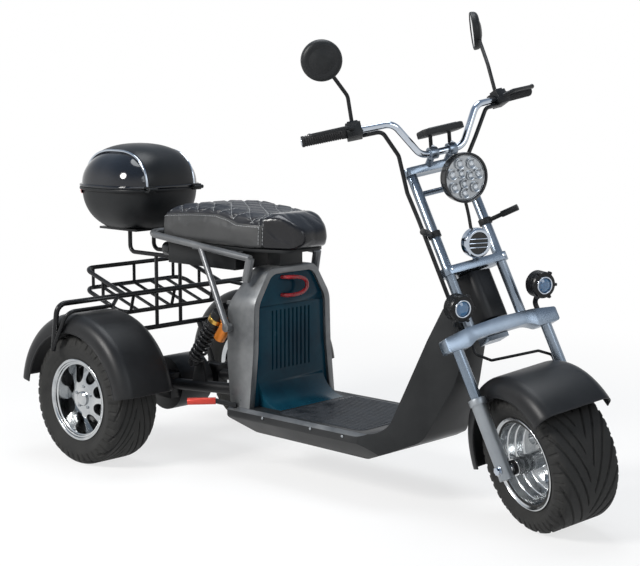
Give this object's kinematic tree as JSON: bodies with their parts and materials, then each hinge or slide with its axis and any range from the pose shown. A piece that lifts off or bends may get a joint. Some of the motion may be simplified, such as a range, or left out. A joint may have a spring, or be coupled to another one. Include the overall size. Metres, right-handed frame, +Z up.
{
  "type": "three-wheeled electric scooter",
  "caption": "Low step-through electric scooter with one steered wheel in front and a pair behind, wide tyres, a quilted seat, a rear tube basket and a lidded top box.",
  "frame": {"origin": "on the ground under the middle of the overall box", "axes": "+X forward, +Y to the rider's left, +Z up"},
  "size_m": [2.3207, 1.1006, 1.5573],
  "materials": {
    "black_satin": "satin black paint",
    "black_plastic": "moulded black plastic",
    "grey_plastic": "satin dark grey plastic",
    "teal_gloss": "gloss dark teal plastic",
    "gloss_black": "gloss black plastic",
    "silver": "satin silver",
    "chrome": "polished",
    "polished_alloy": "polished alloy",
    "tyre": "tyre rubber",
    "grip_rubber": "soft rubber",
    "seat_leather": "quilted artificial leather",
    "lens": "clear lens",
    "red_plastic": "red",
    "red_metal": "red anodised",
    "orange_metal": "orange anodised",
    "mat_rubber": "moulded floor mat"
  },
  "bodies": {
    "chassis": {"body_tub": "grey_plastic", "seat_pillar": "grey_plastic", "pillar_panel": "teal_gloss", "battery": "black_plastic", "battery_handle": "red_plastic", "floor_mat": "mat_rubber", "frame_neck": "black_satin", "seat_cushion": "seat_leather", "seat_pan": "black_plastic", "controller_box": "black_plastic", "seat_rail": "black_satin", "tail_lamp": "black_plastic", "rear_subframe": "black_satin", "basket": "black_satin", "box_carrier": "black_satin", "box_base": "black_plastic", "box_reflector": "red_plastic", "rear_axle": "black_satin", "swing_arm": "black_satin", "shock_left": "black_satin", "shock_right": "black_satin", "reservoir_left": "orange_metal", "reservoir_right": "orange_metal", "fender_left": "black_plastic", "fender_right": "black_plastic", "footpeg_left": "red_metal", "footpeg_right": "red_metal"},
    "steering": {"top_yoke": "silver", "fork_upper": "silver", "light_bar": "silver", "slider_left": "silver", "slider_right": "silver", "front_axle": "silver", "front_fender": "black_plastic", "handlebar": "chrome", "grip_left": "grip_rubber", "grip_right": "grip_rubber", "control_left": "black_plastic", "control_right": "black_plastic", "mirror_left": "black_plastic", "mirror_right": "black_plastic", "display": "gloss_black", "headlight": "gloss_black", "headlight_lens": "lens", "horn": "chrome", "turn_signal_left": "black_plastic", "turn_signal_right": "black_plastic", "spot_lamp_left": "black_satin", "spot_lamp_right": "black_satin", "cables": "black_plastic"},
    "lid": {"box_lid": "gloss_black"},
    "front_wheel": {"tyre_front": "tyre", "rim_front": "polished_alloy"},
    "rear_wheel_left": {"tyre_rear_left": "tyre", "rim_rear_left": "polished_alloy"},
    "rear_wheel_right": {"tyre_rear_right": "tyre", "rim_rear_right": "polished_alloy"}
  },
  "joints": [
    {"name": "steering_turn", "type": "hinge", "parent": "chassis", "child": "steering", "pos_m": [0.89001, 0, 0.20741], "axis": [-0.4648, 0, 0.8854], "range_deg": [-12.6, 57.4]},
    {"name": "front_wheel_spin", "type": "hinge", "parent": "steering", "child": "front_wheel", "pos_m": [0.92849, -0.01791, 0.22762], "axis": [0.3374, 0.9245, 0.1771], "continuous": true},
    {"name": "rear_wheel_left_spin", "type": "hinge", "parent": "chassis", "child": "rear_wheel_left", "pos_m": [-0.71837, 0.413, 0.2295], "axis": [0, 1, 0], "continuous": true},
    {"name": "rear_wheel_right_spin", "type": "hinge", "parent": "chassis", "child": "rear_wheel_right", "pos_m": [-0.71837, -0.413, 0.2295], "axis": [0, 1, 0], "continuous": true},
    {"name": "lid_hinge", "type": "hinge", "parent": "chassis", "child": "lid", "pos_m": [-0.74037, 0, 0.938], "axis": [0, 1, 0], "range_deg": [0, 85]}
  ]
}
